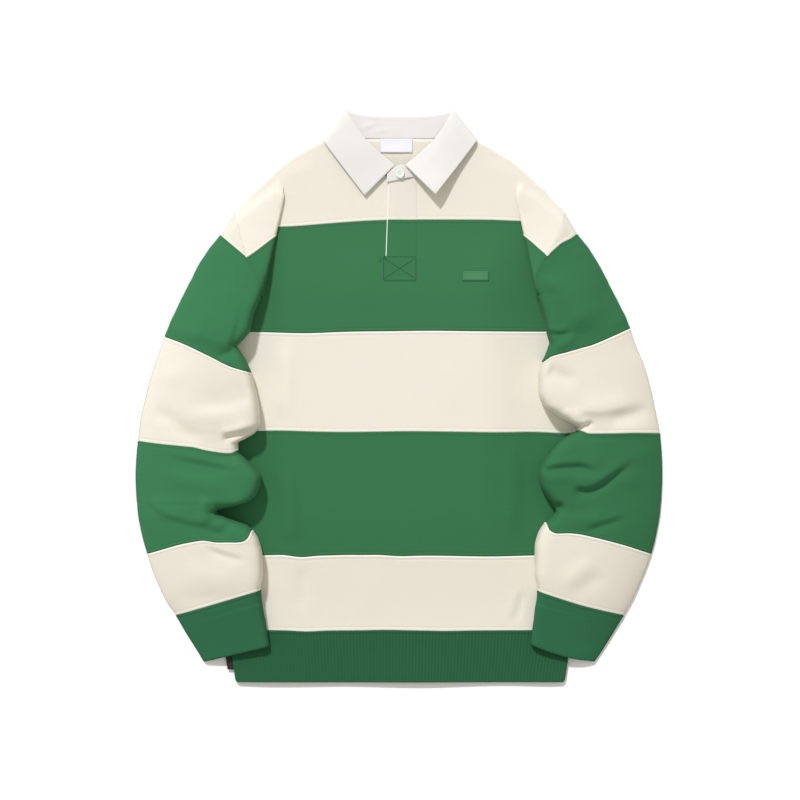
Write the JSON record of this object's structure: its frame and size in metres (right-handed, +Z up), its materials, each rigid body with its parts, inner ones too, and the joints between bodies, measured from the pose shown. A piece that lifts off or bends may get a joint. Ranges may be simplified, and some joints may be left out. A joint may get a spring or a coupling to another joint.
{
  "type": "long-sleeved polo shirt",
  "caption": "Long-sleeved striped polo shirt, laid flat with its sleeves folded down, with a white collar, a short buttoned placket and a ribbed hem.",
  "frame": {"origin": "the middle of the laid-out shirt's outline, on the surface that it lies on", "axes": "+X across the shirt, to the right as seen from above; +Y from the hem to the collar; +Z up from the surface"},
  "size_m": [0.6788, 0.7336, 0.0349],
  "materials": {
    "fleece_cream": "soft matt cotton jersey",
    "fleece_green": "soft matt cotton jersey",
    "rib_green": "matt rib knit",
    "collar_twill": "matt woven cotton twill",
    "label_white": "satin woven label",
    "label_green": "matt woven patch",
    "label_black": "matt woven label",
    "button_pearl": "semi-gloss pearly white"
  },
  "bodies": {
    "root": {"back_cream_1": "fleece_cream", "back_cream_2": "fleece_cream", "back_cream_3": "fleece_cream", "front_cream_1": "fleece_cream", "front_cream_2": "fleece_cream", "front_cream_3": "fleece_cream", "placket_cream": "fleece_cream", "back_green_1": "fleece_green", "back_green_2": "fleece_green", "front_green_1": "fleece_green", "front_green_2": "fleece_green", "placket_green": "fleece_green", "hem_rib": "rib_green", "sleeve_left_cap": "fleece_cream", "sleeve_left_green_1": "fleece_green", "sleeve_left_cream_2": "fleece_cream", "sleeve_left_green_2": "fleece_green", "sleeve_left_cream_3": "fleece_cream", "sleeve_left_cuff": "rib_green", "sleeve_right_cap": "fleece_cream", "sleeve_right_green_1": "fleece_green", "sleeve_right_cream_2": "fleece_cream", "sleeve_right_green_2": "fleece_green", "sleeve_right_cream_3": "fleece_cream", "sleeve_right_cuff": "rib_green", "collar_fall": "collar_twill", "collar_stand": "collar_twill", "placket_facing": "collar_twill", "neck_label": "label_white", "chest_label": "label_green", "side_label": "label_black", "button": "button_pearl"}
  },
  "joints": []
}
